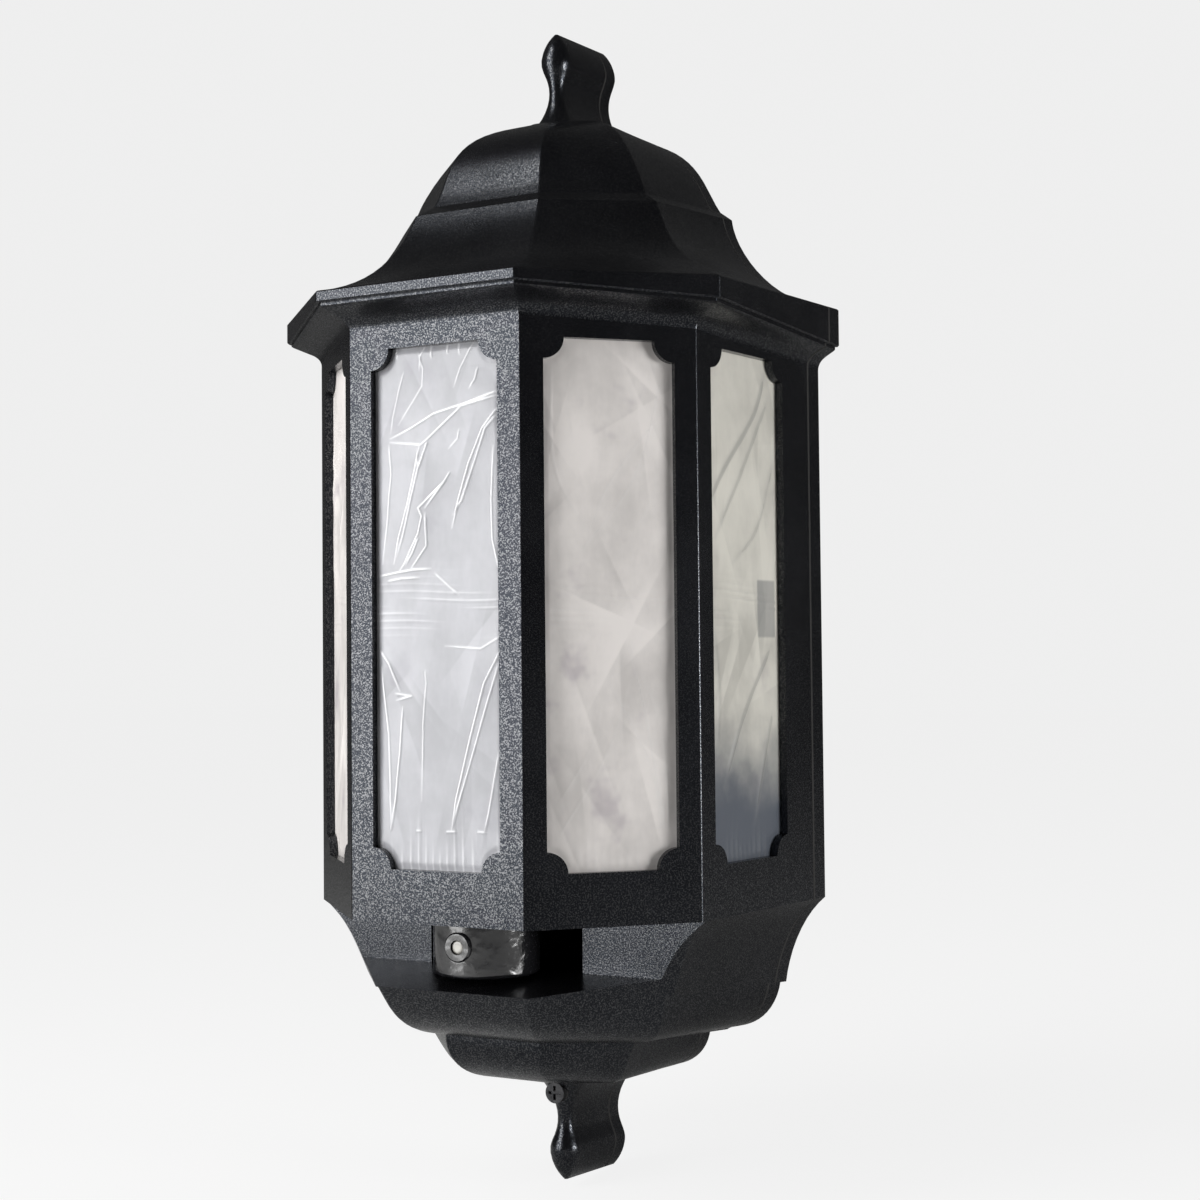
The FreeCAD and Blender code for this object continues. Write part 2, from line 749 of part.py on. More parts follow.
def terminal_block():
    """Return the terminal block on the floor of the wall plate."""
    half_width = terminal_ways * terminal_pitch / 2
    low = terminal_level - terminal_height / 2
    high = terminal_level + terminal_height / 2
    base = block(-half_width, half_width, floor_y - terminal_depth / 2, floor_y, low, high)
    towers = []
    cuts = []
    for x in terminal_places():
        half = (terminal_pitch - terminal_groove) / 2
        towers.append(block(x - half, x + half, floor_y - terminal_depth, floor_y, low, high))
        cuts.append(rod(terminal_bore, FAR, Vector(x, floor_y - terminal_depth / 2, -FAR / 2), UP))
        for z in screw_levels:
            cuts.append(rod(terminal_screw, terminal_depth / 2, Vector(x, floor_y - terminal_depth, z), BACK))
    return fuse([base] + towers).cut(cuts)


def terminal_screws():
    """Return the clamping screws of the terminal block."""
    y = floor_y - terminal_depth + screw_sink
    length = terminal_depth / 2 - screw_sink
    screws = []
    for x in terminal_places():
        for z in screw_levels:
            screw = rod(terminal_screw, length, Vector(x, y, z), BACK)
            slot = block(x - FAR, x + FAR, y, y + slot_depth, z - slot_width / 2, z + slot_width / 2)
            screws.append(screw.cut(slot))
    return Part.makeCompound(screws)


def main():
    """Build every node."""
    os.makedirs("parts", exist_ok=True)
    form = lantern_form()
    hollow = lantern_hollow()
    shell = form.cut(hollow)
    nodes = {
        "wall_plate": wall_plate(form, hollow),
        "rim_seal": rim_seal(shell),
        "cable_grommet": cable_grommet(),
        "lamp_bracket": lamp_bracket(),
        "bracket_screws": plate_screws(bracket_fixings, bracket_thickness),
        "lampholder_body": lampholder_body(),
        "lampholder_ring": lampholder_ring(),
        "lampholder_nut": lampholder_nut(),
        "contact_pins": contact_pins(),
        "lamp": lamp(),
        "terminal_block": terminal_block(),
        "terminal_screws": terminal_screws(),
        "sensor_barrel": sensor_barrel(),
        "photocell_bezel": photocell_bezel(),
        "photocell_lens": photocell_lens(),
        "sensor_arm": sensor_arm(),
        "arm_screws": plate_screws(arm_fixings, bracket_thickness),
        "lantern_cover": lantern_cover(shell),
        "diffuser": diffuser(),
        "cover_screw": cover_screw(),
        "screw_washer": screw_washer(),
    }
    for name, shape in nodes.items():
        save(name, shape)


main()
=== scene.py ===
import math
from typing import NamedTuple

import bpy
import numpy as np
from bpy.props import FloatProperty, FloatVectorProperty, PointerProperty
from bpy.types import Operator, Panel, PropertyGroup
from mathutils import Matrix, Vector


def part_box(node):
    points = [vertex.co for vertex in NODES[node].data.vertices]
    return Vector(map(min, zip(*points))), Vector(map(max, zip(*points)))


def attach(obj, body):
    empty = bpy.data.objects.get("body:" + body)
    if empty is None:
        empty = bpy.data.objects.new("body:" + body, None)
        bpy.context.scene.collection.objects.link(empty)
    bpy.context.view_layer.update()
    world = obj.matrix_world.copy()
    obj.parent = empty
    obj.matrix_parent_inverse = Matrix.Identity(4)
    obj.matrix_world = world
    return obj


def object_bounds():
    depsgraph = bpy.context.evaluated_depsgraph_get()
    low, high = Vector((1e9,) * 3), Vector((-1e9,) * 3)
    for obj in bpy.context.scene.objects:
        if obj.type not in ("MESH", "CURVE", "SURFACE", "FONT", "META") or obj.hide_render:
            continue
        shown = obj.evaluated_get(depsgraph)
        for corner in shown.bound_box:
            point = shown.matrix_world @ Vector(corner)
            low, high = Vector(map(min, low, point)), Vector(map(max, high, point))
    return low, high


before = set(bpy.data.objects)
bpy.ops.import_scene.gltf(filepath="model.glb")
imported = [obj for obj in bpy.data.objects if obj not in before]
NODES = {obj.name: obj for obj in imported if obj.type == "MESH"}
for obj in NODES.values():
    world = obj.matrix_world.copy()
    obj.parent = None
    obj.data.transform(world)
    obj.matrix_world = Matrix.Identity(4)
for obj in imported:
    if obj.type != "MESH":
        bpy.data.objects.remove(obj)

bl_info = {
    "name": "Half lantern wall light",
    "version": (1, 0, 0),
    "blender": (4, 5, 0),
    "location": "View3D > Sidebar > Lantern",
    "description": "Finishes, window film and studio for a half lantern wall light",
    "category": "Object",
}

CAD_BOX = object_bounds()
MM = 0.001


class Value:
    """A shader socket that takes part in Python arithmetic."""

    def __init__(self, shading, socket):
        self.shading = shading
        self.socket = socket

    def math(self, operation, *values):
        """Add a Math node on the values."""
        inputs = dict(enumerate(values))
        return self.shading.node("ShaderNodeMath", {"operation": operation}, inputs)

    def __add__(self, other):
        return self.math("ADD", self, other)

    __radd__ = __add__

    def __sub__(self, other):
        return self.math("SUBTRACT", self, other)

    def __rsub__(self, other):
        return self.math("SUBTRACT", other, self)

    def __mul__(self, other):
        return self.math("MULTIPLY", self, other)

    __rmul__ = __mul__


class Shading:
    """A tree of shader nodes, which starts empty."""

    def __init__(self, tree):
        self.tree = tree
        self.tree.nodes.clear()

    def node(self, kind, settings=None, inputs=None, out=0):
        """Add a node, set its settings and then its sockets, and return one of its outputs."""
        made = self.tree.nodes.new(kind)
        for key, value in (settings or {}).items():
            setattr(made, key, value)
        for key, value in (inputs or {}).items():
            if isinstance(value, Value):
                self.tree.links.new(value.socket, made.inputs[key])
            else:
                made.inputs[key].default_value = value
        return Value(self, made.outputs[out]) if len(made.outputs) else None

    def camera_ray(self):
        """Return 1 where the camera looks straight at the surface, or else 0."""
        return self.node("ShaderNodeLightPath", out="Is Camera Ray")


class Finish(Shading):
    """One material and the nodes that make it."""

    def __init__(self, name):
        self.material = bpy.data.materials.new(name)
        self.material.use_nodes = True
        super().__init__(self.material.node_tree)

    def place(self):
        """Return the point on the piece, in metres."""
        return self.node("ShaderNodeTexCoord", out="Object")

    def axis(self, vector, name):
        """Return one coordinate of a vector."""
        return self.node("ShaderNodeSeparateXYZ", inputs={0: vector}, out=name)

    def noise(self, vector, size, detail, roughness=0.5):
        """Return a soft random value whose patches have a size in metres."""
        inputs = {"Vector": vector, "Scale": 1 / size, "Detail": detail, "Roughness": roughness}
        return self.node("ShaderNodeTexNoise", inputs=inputs)

    def stretched(self, vector, stretch):
        """Return a vector scaled along its axes."""
        settings = {"operation": "MULTIPLY"}
        return self.node("ShaderNodeVectorMath", settings, {0: vector, 1: stretch})

    def shifted(self, vector, offset):
        """Return a vector moved by an offset."""
        return self.node("ShaderNodeVectorMath", {"operation": "ADD"}, {0: vector, 1: offset})

    def distance(self, vector, point):
        """Return how far a vector is from a point."""
        inputs = {0: vector, 1: point}
        return self.node("ShaderNodeVectorMath", {"operation": "DISTANCE"}, inputs, out="Value")

    def steps(self, value, low, high):
        """Return 0 below a low value and 1 above a high one, smooth between."""
        settings = {"interpolation_type": "SMOOTHSTEP"}
        inputs = {"Value": value, "From Min": low, "From Max": high}
        return self.node("ShaderNodeMapRange", settings, inputs)

    def band(self, value, low, high, edge):
        """Return 1 from a low to a high value and 0 elsewhere, with soft edges inside the two."""
        return self.steps(value, low, low + edge) * (1 - self.steps(value, high - edge, high))

    def blend(self, share, first, second):
        """Mix two colours."""
        first, second = (c if isinstance(c, Value) else rgba(c) for c in (first, second))
        inputs = {0: share, 6: first, 7: second}
        return self.node("ShaderNodeMix", {"data_type": "RGBA"}, inputs, out=2)

    def bump(self, height, strength, distance):
        """Return normals that follow a height in metres times the distance."""
        inputs = {"Height": height, "Strength": strength, "Distance": distance}
        return self.node("ShaderNodeBump", inputs=inputs)

    def attribute(self, name):
        """Return a value that the mesh carries at its points."""
        return self.node("ShaderNodeAttribute", {"attribute_name": name}, out="Fac")

    def surface(self, **sockets):
        """Close the material with a principled surface."""
        inputs = {key.replace("_", " "): value for key, value in sockets.items()}
        self.close(self.node("ShaderNodeBsdfPrincipled", inputs=inputs))

    def close(self, shader):
        """Link a shader to the material's output."""
        self.node("ShaderNodeOutputMaterial", inputs={"Surface": shader})


def rgba(colour):
    """Return a colour with full opacity."""
    return (colour[0], colour[1], colour[2], 1.0)


def scaled(colour, shares):
    """Return a colour with each channel times a share, at most 1."""
    return [min(1.0, c * share) for c, share in zip(colour, shares)]


def dress(material, *names):
    """Give CAD nodes a material."""
    for name in names:
        mesh = NODES[name].data
        mesh.materials.clear()
        mesh.materials.append(material)


class MouldingSettings(PropertyGroup):
    """Sizes and colours of the black moulding."""

    colour: FloatVectorProperty(
        name="Colour", description="Body colour of the moulding", subtype="COLOR",
        default=(0.003, 0.003, 0.0036), min=0, max=1)
    bloom: FloatVectorProperty(
        name="Bloom", description="Colour of the paler patches", subtype="COLOR",
        default=(0.006, 0.006, 0.0068), min=0, max=1)
    grain: FloatProperty(
        name="Grain", description="Size of the moulded texture's grains", subtype="DISTANCE",
        default=0.44 * MM)
    relief: FloatProperty(
        name="Relief", description="Depth of the moulded texture", subtype="DISTANCE",
        default=0.07 * MM)
    roughness: FloatProperty(
        name="Roughness", description="How matt the moulding is", subtype="FACTOR",
        default=0.24, min=0, max=1)


class GlazingSettings(PropertyGroup):
    """Colours of the glazing, with painted light and shade, and sizes of its film."""

    # The pane colours are lit and shaded copies of one milky sheet: the front one is darkened
    # against the key lamp, and the diagonal and side ones are painted paler for light passing
    # through the sheet.
    front: FloatVectorProperty(
        name="Front", description="Colour of the front pane", subtype="COLOR",
        default=(0.424, 0.426, 0.452), min=0, max=1)
    diagonal: FloatVectorProperty(
        name="Diagonal", description="Colour of the diagonal panes", subtype="COLOR",
        default=(0.765, 0.728, 0.703), min=0, max=1)
    side: FloatVectorProperty(
        name="Side", description="Colour of the side panes", subtype="COLOR",
        default=(0.64, 0.62, 0.56), min=0, max=1)
    # Painted shade, low down in the side panes, of the dark parts behind the sheet.
    shade: FloatVectorProperty(
        name="Shade", description="Colour low down in the side panes", subtype="COLOR",
        default=(0.10, 0.112, 0.135), min=0, max=1)
    cell: FloatProperty(
        name="Cell", description="Spacing of the front film's mesh", subtype="DISTANCE",
        default=0.3 * MM)
    lift: FloatProperty(
        name="Lift", description="Gap between diffuser and film", subtype="DISTANCE",
        default=0.12 * MM)
    margin: FloatProperty(
        name="Margin", description="How far the film runs behind the window's edge",
        subtype="DISTANCE", default=1.5 * MM)


class StageSettings(PropertyGroup):
    """Floor, lamps and camera."""

    floor: FloatVectorProperty(
        name="Floor", description="Colour of the floor", subtype="COLOR",
        default=(0.80, 0.80, 0.79), min=0, max=1)
    backdrop: FloatProperty(
        name="Backdrop", description="Brightness behind the object", default=0.86)
    evenness: FloatProperty(
        name="Evenness", description="How far the floor takes on the backdrop's brightness",
        subtype="FACTOR", default=0.85, min=0, max=1)
    ambient: FloatProperty(name="Ambient", description="Light from all round", default=0.06)
    key: FloatProperty(
        name="Key", description="Power of the lamp at the front left", subtype="POWER",
        default=11.1)
    fill: FloatProperty(
        name="Fill", description="Power of the lamp at the right", subtype="POWER", default=10.0)
    camera: FloatVectorProperty(
        name="Camera", description="Where the camera stands", subtype="TRANSLATION",
        unit="LENGTH", default=(0.2885, -0.5512, -0.0172))
    azimuth: FloatProperty(
        name="Azimuth", description="How far round to the right the camera stands",
        subtype="ANGLE", default=math.radians(27.83))
    elevation: FloatProperty(
        name="Elevation", description="How high the camera stands over the object",
        subtype="ANGLE", default=math.radians(-2.01))
    roll: FloatProperty(
        name="Roll", description="How far the camera leans", subtype="ANGLE",
        default=math.radians(-0.53))
    lens: FloatProperty(name="Lens", description="Focal length on a 36 mm frame", default=56.7)


# Sizes of the moulding's finer grains and of its shiny specks, as shares of the grain.
FINE_GRAIN = 0.45
SPECK_GRAIN = 0.95
# Moves the specks off the grains, so that the two patterns don't match.
SPECK_SHIFT = (0.31, 0.17, 0.23)
MOULDING_SHEEN = (0.74, 0.83, 1.0)


class LANTERN_OT_moulding(Operator):
    """Give the cover and the wall plate their spark-textured black finish"""

    bl_idname = "lantern.moulding"
    bl_label = "Moulding"

    def execute(self, context):
        settings = context.scene.lantern_moulding
        finish = Finish("black_moulding")
        place = finish.place()
        grain = finish.noise(place, settings.grain, 1.0)
        fine = finish.noise(place, settings.grain * FINE_GRAIN, 1.0)
        patch = finish.noise(place, 30 * MM, 3.0)
        shifted = finish.shifted(place, SPECK_SHIFT)
        speck = finish.noise(shifted, settings.grain * SPECK_GRAIN, 1.5)
        patchy = finish.steps(patch, 0.35, 0.7)
        texture = grain * 0.6 + fine * 0.4
        finish.surface(
            Base_Color=finish.blend(patchy, settings.colour, settings.bloom),
            Roughness=settings.roughness + (fine - 0.5) * 0.16 + (patch - 0.5) * 0.08,
            Specular_IOR_Level=0.26,
            Specular_Tint=rgba(MOULDING_SHEEN),
            Coat_Weight=finish.steps(speck, 0.45, 0.68),
            Coat_Roughness=0.22,
            Coat_IOR=1.72,
            Normal=finish.bump(texture, 1.0, settings.relief),
        )
        dress(finish.material, "lantern_cover", "wall_plate")
        return {"FINISHED"}


RUBBER = (0.012, 0.012, 0.012)
RUBBER_DUST = (0.035, 0.034, 0.033)


class LANTERN_OT_seals(Operator):
    """Give the rubber pieces their soft matt finish"""

    bl_idname = "lantern.seals"
    bl_label = "Seals and grommet"

    def execute(self, context):
        finish = Finish("soft_rubber")
        place = finish.place()
        dust = finish.noise(place, 4 * MM, 4.0)
        pores = finish.noise(place, 0.6 * MM, 2.0)
        finish.surface(
            Base_Color=finish.blend(dust, RUBBER, RUBBER_DUST),
            Roughness=0.72 + (dust - 0.5) * 0.2,
            Specular_IOR_Level=0.3,
            Normal=finish.bump(pores, 0.5, 0.08 * MM),
        )
        dress(finish.material, "rim_seal", "cable_grommet", "screw_washer")
        return {"FINISHED"}


ZINC_DULL = (0.50, 0.50, 0.49)
ZINC_BRIGHT = (0.68, 0.68, 0.66)
BLACK_PLATE = (0.02, 0.02, 0.022)
BLACK_PLATE_WORN = (0.09, 0.09, 0.093)
BRASS = (0.72, 0.50, 0.20)
BRASS_TARNISH = (0.50, 0.34, 0.14)
# Depth of the marks on the metal pieces.
TOOL_MARK = 0.05 * MM


class LANTERN_OT_metalwork(Operator):
    """Give the bracket, the screws and the brass pieces their metal finishes"""

    bl_idname = "lantern.metalwork"
    bl_label = "Metalwork"

    def execute(self, context):
        zinc = Finish("zinc_plate")
        place = zinc.place()
        brushed = zinc.noise(zinc.stretched(place, (1.0, 0.06, 1.0)), 0.7 * MM, 3.0)
        spangle = zinc.noise(place, 6 * MM, 2.0)
        zinc.surface(
            Base_Color=zinc.blend(spangle, ZINC_DULL, ZINC_BRIGHT),
            Metallic=1.0,
            Roughness=0.28 + brushed * 0.2,
            Normal=zinc.bump(brushed, 0.25, TOOL_MARK),
        )
        dress(zinc.material, "lamp_bracket", "bracket_screws", "arm_screws")
        dark = Finish("black_plate")
        worn = dark.noise(dark.place(), 1.2 * MM, 3.0)
        dark.surface(
            Base_Color=dark.blend(worn, BLACK_PLATE, BLACK_PLATE_WORN),
            Metallic=1.0,
            Roughness=0.26 + worn * 0.2,
            Normal=dark.bump(worn, 0.3, TOOL_MARK),
        )
        dress(dark.material, "cover_screw")
        brass = Finish("turned_brass")
        place = brass.place()
        tarnish = brass.noise(place, 3 * MM, 3.0)
        turned = brass.noise(brass.stretched(place, (1.0, 1.0, 8.0)), 2 * MM, 2.0)
        brass.surface(
            Base_Color=brass.blend(tarnish, BRASS, BRASS_TARNISH),
            Metallic=1.0,
            Roughness=0.25 + tarnish * 0.2,
            Normal=brass.bump(turned, 0.2, TOOL_MARK),
        )
        dress(brass.material, "lampholder_nut", "contact_pins", "terminal_screws")
        return {"FINISHED"}


HOLDER = (0.012, 0.012, 0.013)
HOLDER_MOTTLE = (0.03, 0.028, 0.027)
TERMINAL = (0.72, 0.71, 0.65)
TERMINAL_HAZE = (0.82, 0.81, 0.76)
GLOBE = (0.80, 0.80, 0.77)
GLOBE_CLOUD = (0.88, 0.88, 0.86)
CAP_METAL = (0.62, 0.62, 0.61)
CAP_LENGTH = 20 * MM
CAP_EDGE = 0.4 * MM
MOULD_MARK = 0.06 * MM


class LANTERN_OT_lamp_unit(Operator):
    """Give the lamp, its holder and the terminal block their finishes"""

    bl_idname = "lantern.lamp_unit"
    bl_label = "Lamp, holder and terminals"

    def execute(self, context):
        holder = Finish("holder_moulding")
        place = holder.place()
        mottle = holder.noise(place, 5 * MM, 3.0)
        holder.surface(
            Base_Color=holder.blend(mottle, HOLDER, HOLDER_MOTTLE),
            Roughness=0.33 + mottle * 0.12,
            Normal=holder.bump(holder.noise(place, 1.2 * MM, 2.0), 0.25, MOULD_MARK),
        )
        dress(holder.material, "lampholder_body", "lampholder_ring")
        terminal = Finish("terminal_moulding")
        place = terminal.place()
        haze = terminal.noise(place, 6 * MM, 3.0)
        terminal.surface(
            Base_Color=terminal.blend(haze, TERMINAL, TERMINAL_HAZE),
            Roughness=0.38 + haze * 0.12,
            Normal=terminal.bump(terminal.noise(place, 1.5 * MM, 2.0), 0.2, MOULD_MARK),
        )
        dress(terminal.material, "terminal_block")
        lamp = Finish("opal_lamp")
        place = lamp.place()
        cap_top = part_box("lamp")[0].z + CAP_LENGTH
        height = lamp.axis(place, "Z")
        cap = 1 - lamp.steps(height, cap_top - CAP_EDGE / 2, cap_top + CAP_EDGE / 2)
        cloud = lamp.noise(place, 20 * MM, 3.0)
        scuffs = lamp.noise(lamp.stretched(place, (1.0, 1.0, 6.0)), 2 * MM, 3.0)
        globe = lamp.blend(cloud, GLOBE, GLOBE_CLOUD)
        lamp.surface(
            Base_Color=lamp.blend(cap, globe, CAP_METAL),
            Metallic=cap,
            Roughness=0.12 + cloud * 0.06 + cap * (0.15 + scuffs * 0.15),
            Normal=lamp.bump(scuffs * cap, 0.3, TOOL_MARK),
        )
        dress(lamp.material, "lamp")
        return {"FINISHED"}


GLOSS = (0.008, 0.008, 0.009)
GLOSS_WAVE = (0.014, 0.014, 0.016)
LENS = (0.72, 0.70, 0.64)
LENS_RIM = (0.22, 0.21, 0.19)


class LANTERN_OT_sensor(Operator):
    """Give the dusk sensor its gloss black housing and its pale window"""

    bl_idname = "lantern.sensor"
    bl_label = "Dusk sensor"

    def execute(self, context):
        gloss = Finish("gloss_black")
        place = gloss.place()
        wave = gloss.noise(place, 6 * MM, 2.0)
        dust = gloss.noise(place, 1.2 * MM, 3.0)
        gloss.surface(
            Base_Color=gloss.blend(wave, GLOSS, GLOSS_WAVE),
            Roughness=0.12 + gloss.steps(dust, 0.55, 0.75) * 0.2,
            Coat_Weight=0.6 + wave * 0.4,
            Coat_Roughness=0.08,
            Coat_IOR=1.8,
            Normal=gloss.bump(wave, 0.8, 0.9 * MM),
        )
        dress(gloss.material, "sensor_barrel", "sensor_arm", "photocell_bezel")
        lens = Finish("photocell_window")
        place = lens.place()
        low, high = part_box("photocell_lens")
        centre = ((low.x + high.x) / 2, low.y, (low.z + high.z) / 2)
        rim = lens.steps(lens.distance(place, centre), 0.6 * MM, 2.0 * MM)
        glints = lens.noise(place, 1.1 * MM, 3.0)
        lens.surface(
            Base_Color=lens.blend(rim * (0.6 + glints * 0.6), LENS, LENS_RIM),
            Roughness=0.12 + glints * 0.1,
            Coat_Weight=0.6 + glints * 0.4,
            Normal=lens.bump(glints, 0.3, 0.1 * MM),
        )
        dress(lens.material, "photocell_lens")
        return {"FINISHED"}


SHEET = (0.66, 0.655, 0.63)
SHEET_CLOUD = (0.76, 0.755, 0.735)


class LANTERN_OT_diffuser(Operator):
    """Give the folded diffuser its milky finish"""

    bl_idname = "lantern.diffuser"
    bl_label = "Diffuser"

    def execute(self, context):
        finish = Finish("milky_sheet")
        place = finish.place()
        cloud = finish.noise(place, 30 * MM, 4.0)
        drawn = finish.noise(finish.stretched(place, (1.0, 1.0, 0.08)), 4 * MM, 3.0)
        finish.surface(
            Base_Color=finish.blend(cloud, SHEET, SHEET_CLOUD),
            Roughness=0.3 + drawn * 0.15,
            Normal=finish.bump(drawn, 0.2, 0.1 * MM),
        )
        dress(finish.material, "diffuser")
        return {"FINISHED"}


# The cage's plan at its outer face, and the windows in it.
PLAN_FRONT = 57.0 * MM
PLAN_DEPTH = 104.5 * MM
PLAN_RUN = 36.5 * MM
PLAN_WALL = 150.5 * MM
SILL = -74.0 * MM
WINDOW_HEIGHT = 148.0 * MM
FRONT_WINDOW = 42.0 * MM
DIAGONAL_WINDOW = 38.4 * MM
SIDE_WINDOW = 39.6 * MM
SIDE_WINDOW_MIDDLE = 27.0 * MM
SCALLOP = 6.0 * MM

# The film lies this far behind the cage's face, against the diffuser.
FILM_INSET = 2.75 * MM
FOLD_WIDTH = 0.27 * MM
SIDE_FOLD_WIDTH = 0.9 * MM
FOLD_RISE = 0.27 * MM
FOLD_SWELL = 0.22 * MM
FOLD_SWELL_REACH = 3.2 * MM
CRUMPLE_RISE = 0.16 * MM
BELT_RISE = 0.07 * MM
HEM_RISE = 0.06 * MM
HIGHEST_FOLD = 1.5 * MM
# Mesh spacing of the panes that don't face the room, as a share of the front one's.
COARSE = 1.4
# Added to a right pane's random seed for its left pane, and to a pane's for its loose creases.
LEFT_SEED = 10
CREASE_SEED = 50
# Heights at which a loose crease starts near a corner and ends near the middle.
UPPER_SPANS = ((0.86, 0.98), (0.56, 0.66))
LOWER_SPANS = ((0.05, 0.14), (0.34, 0.44))
LOOSE_CREASES = 9
# Number of film facets with painted light and shade.
PAINTED_FACETS = 34
CRUMPLES = 7

# Painted highlights along the fold lines of the front and diagonal panes, and painted shade along
# those of the side panes.
FOLD_HIGHLIGHT = (0.97, 0.975, 0.99)
FOLD_SOFT_HIGHLIGHT = (0.80, 0.79, 0.78)
FOLD_SHADE = (0.30, 0.30, 0.29)
# Colour shares of the painted shade patches.
SHADE_BLOT_SHARES = (0.50, 0.46, 0.54)
DARK_SHARES = (0.80, 0.80, 0.80)
PALE_SHARES = (1.14, 1.14, 1.14)

# Where the side panes get a painted shadow of the diffuser's lug behind them, in depth and in
# height.
LUG_SHADOW_DEPTH = (-33.5 * MM, -23.0 * MM)
LUG_SHADOW_HEIGHT = (-9.5 * MM, 8.5 * MM)
LUG_SHADOW_EDGE = 1.0 * MM
# Heights over which the side panes darken towards the bottom with painted shade of the parts
# behind the sheet.
SHADE_LEVELS = (-63 * MM, -27 * MM)

# Each crease is a line of points, as shares of the window's width and height, and its strength.
FRONT_CREASES = [
    ([(1.0, .904), (.75, .886), (.47, .869), (.28, .843), (.12, .827)], 1.0),
    ([(.98, .895), (.69, .879), (.52, .843), (.37, .811), (.12, .820)], 0.9),
    ([(.36, .808), (.32, .764), (.26, .700), (.19, .636), (.15, .585)], 1.0),
    ([(.34, .803), (.35, .770), (.29, .712), (.22, .636), (.17, .597)], 0.6),
    ([(.58, .744), (.47, .719), (.345, .690), (.373, .674), (.345, .642),
      (.235, .585), (.19, .569)], 1.0),
    ([(.40, .680), (.41, .617), (.28, .572)], 0.8),
    ([(.986, .875), (.856, .834), (.746, .770), (.663, .700), (.613, .649)], 1.0),
    ([(.97, .859), (.88, .834), (.77, .757), (.69, .700), (.62, .674)], 0.7),
    ([(.94, .800), (.917, .700), (.925, .623), (.967, .578), (.99, .562)], 0.8),
    ([(.11, .815), (.124, .757), (.097, .674), (.055, .585)], 0.7),
    ([(.03, .562), (.19, .568), (.30, .572), (.44, .573)], 1.0),
    ([(1.0, .444), (.83, .419), (.55, .425)], 0.6),
    ([(.03, .418), (.10, .393), (.19, .339)], 0.9),
    ([(.15, .335), (.28, .330), (.16, .322)], 0.7),
    ([(.04, .386), (.097, .259), (.11, .163), (.11, .074)], 0.9),
    ([(.21, .310), (.19, .227), (.15, .131), (.11, .074)], 1.0),
    ([(.39, .380), (.40, .355), (.373, .272), (.36, .131)], 0.6),
    ([(1.0, .425), (.856, .355), (.746, .252), (.635, .137), (.594, .074)], 1.0),
    ([(.98, .399), (.884, .323), (.773, .227), (.663, .137), (.608, .086)], 0.8),
    ([(.967, .227), (.884, .112), (.856, .080)], 0.7),
    ([(.40, 1.0), (.37, .981), (.36, .955)], 0.5),
    ([(.79, 1.0), (.69, .955), (.635, .917)], 0.5),
    ([(.235, .955), (.19, .917), (.14, .866), (.124, .837)], 0.5),
    ([(.31, .074), (.36, .074)], 0.6),
    ([(.55, .074), (.635, .075)], 0.6),
    ([(.79, .076), (.87, .075)], 0.6),
    ([(.35, .990), (.39, .957), (.38, .925), (.275, .885), (.19, .853)], 0.5),
    ([(.17, 1.0), (.18, .980)], 0.6),
    ([(.45, 1.0), (.46, .976)], 0.6),
    ([(.58, 1.0), (.585, .982)], 0.7),
    ([(.67, 1.0), (.68, .978)], 0.6),
    ([(.82, .950), (.80, .928), (.755, .912)], 0.7),
    ([(.67, .836), (.66, .818), (.59, .800)], 0.5),
    ([(.60, .756), (.55, .735), (.40, .690)], 0.9),
    ([(.42, .816), (.385, .790), (.35, .765)], 1.0),
    ([(.35, .635), (.30, .605), (.24, .580)], 0.7),
    ([(.09, .551), (.21, .556), (.35, .557)], 0.8),
    ([(.47, .565), (.59, .537), (.66, .522)], 0.5),
]

SIDE_CREASES = [
    ([(.83, .97), (.65, .88), (.24, .767), (.03, .69)], 1.0),
    ([(.87, .92), (.48, .764), (.12, .63)], 0.7),
    ([(.95, .80), (.70, .66), (.36, .585)], 0.5),
    ([(.88, .42), (.45, .27), (.22, .15)], 0.8),
    ([(.90, .29), (.74, .17), (.64, .07)], 0.6),
    ([(.10, .46), (.16, .33), (.13, .20)], 0.5),
]


class Pane(NamedTuple):
    """One film pane: its facet from left to right as seen from outside, its window, its folds."""

    name: str
    start: Vector
    end: Vector
    middle: float
    width: float
    material: bpy.types.Material
    seed: int
    creases: list
    fold_width: float
    rounded: bool


def mirrored(pane):
    """Return the left pane that belongs to a right one."""
    flip = Matrix.Diagonal((-1, 1, 1, 1))
    return pane._replace(
        name=pane.name.replace("right", "left"),
        start=flip @ pane.end,
        end=flip @ pane.start,
        middle=(pane.end - pane.start).length - pane.middle,
        seed=pane.seed + LEFT_SEED,
        creases=[([(1 - u, v) for u, v in line], strength) for line, strength in pane.creases],
    )


def smooth(value, low, high):
    """Return 0 below a low value and 1 above a high one, smooth between."""
    t = np.clip((value - low) / (high - low), 0, 1)
    return t * t * (3 - 2 * t)


def rounded_path(points, spacing):
    """Return points along a smooth line through a crease's points."""
    given = np.array(points)
    padded = np.vstack([2 * given[0] - given[1], given, 2 * given[-1] - given[-2]])
    line = []
    for first, second, third, fourth in zip(padded, padded[1:], padded[2:], padded[3:]):
        count = max(2, int(np.linalg.norm(third - second) / spacing))
        for t in np.arange(count) / count:
            line.append(0.5 * (
                2 * second + (third - first) * t
                + (2 * first - 5 * second + 4 * third - fourth) * t ** 2
                + (3 * second - first - 3 * third + fourth) * t ** 3
            ))
    return np.array(line + [given[-1]])


